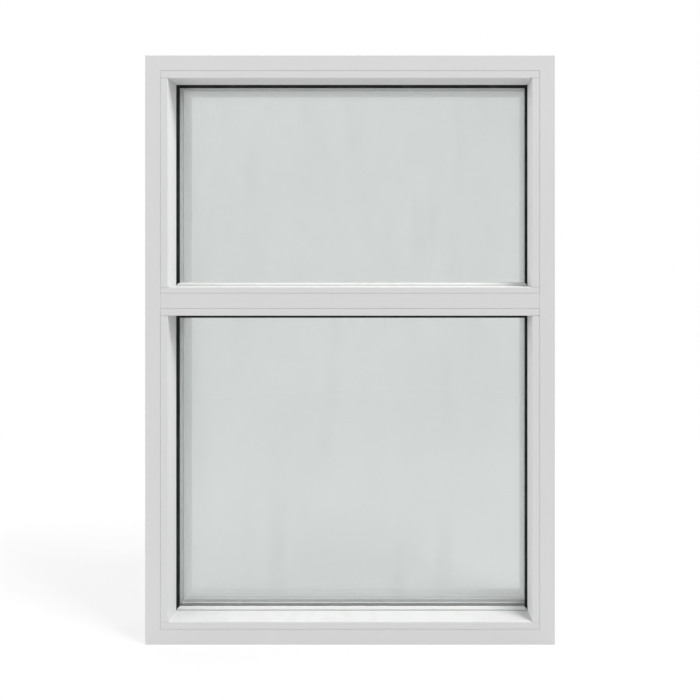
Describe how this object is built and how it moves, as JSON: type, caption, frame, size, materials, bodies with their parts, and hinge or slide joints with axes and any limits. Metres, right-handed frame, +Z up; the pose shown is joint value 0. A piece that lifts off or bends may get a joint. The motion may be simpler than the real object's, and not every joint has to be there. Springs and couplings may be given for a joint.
{
  "type": "fixed picture window",
  "caption": "Fixed window with a small upper light and a tall lower light, double glazed with snap-in beads in a white thermally broken aluminium frame.",
  "frame": {"origin": "middle of the underside of the sill, at half the depth of the frame", "axes": "+X to the right seen from the room side, +Y from the room side to the outside, +Z up; the bead side faces -Y"},
  "size_m": [0.914, 0.1142, 1.314],
  "materials": {
    "frame_paint": "white powder coat, satin",
    "thermal_strip": "glass-filled polyamide, matt",
    "wedge_rubber": "black wedge gasket",
    "gasket_rubber": "black gasket",
    "glass": "clear float glass",
    "spacer_metal": "mill finish",
    "key_metal": "cast corner keys, as cast",
    "edge_sealant": "dark sealant between the panes",
    "setting_block": "hard rubber block"
  },
  "bodies": {
    "root": {"corner_keys_inner": "key_metal", "corner_keys_outer": "key_metal", "frame_inner_bottom": "frame_paint", "frame_inner_left": "frame_paint", "frame_inner_right": "frame_paint", "frame_inner_top": "frame_paint", "frame_outer_bottom": "frame_paint", "frame_outer_left": "frame_paint", "frame_outer_right": "frame_paint", "frame_outer_top": "frame_paint", "lower_bead_bottom": "frame_paint", "lower_bead_left": "frame_paint", "lower_bead_right": "frame_paint", "lower_bead_top": "frame_paint", "lower_edge_seal": "edge_sealant", "lower_pane_inner": "glass", "lower_pane_outer": "glass", "lower_rear_gasket": "gasket_rubber", "lower_setting_blocks": "setting_block", "lower_spacer": "spacer_metal", "lower_wedge_bottom": "wedge_rubber", "lower_wedge_left": "wedge_rubber", "lower_wedge_right": "wedge_rubber", "lower_wedge_top": "wedge_rubber", "thermal_strip_bottom": "thermal_strip", "thermal_strip_left": "thermal_strip", "thermal_strip_right": "thermal_strip", "thermal_strip_top": "thermal_strip", "transom_inner": "frame_paint", "transom_outer": "frame_paint", "transom_strip": "thermal_strip", "upper_bead_bottom": "frame_paint", "upper_bead_left": "frame_paint", "upper_bead_right": "frame_paint", "upper_bead_top": "frame_paint", "upper_edge_seal": "edge_sealant", "upper_pane_inner": "glass", "upper_pane_outer": "glass", "upper_rear_gasket": "gasket_rubber", "upper_setting_blocks": "setting_block", "upper_spacer": "spacer_metal", "upper_wedge_bottom": "wedge_rubber", "upper_wedge_left": "wedge_rubber", "upper_wedge_right": "wedge_rubber", "upper_wedge_top": "wedge_rubber"}
  },
  "joints": []
}
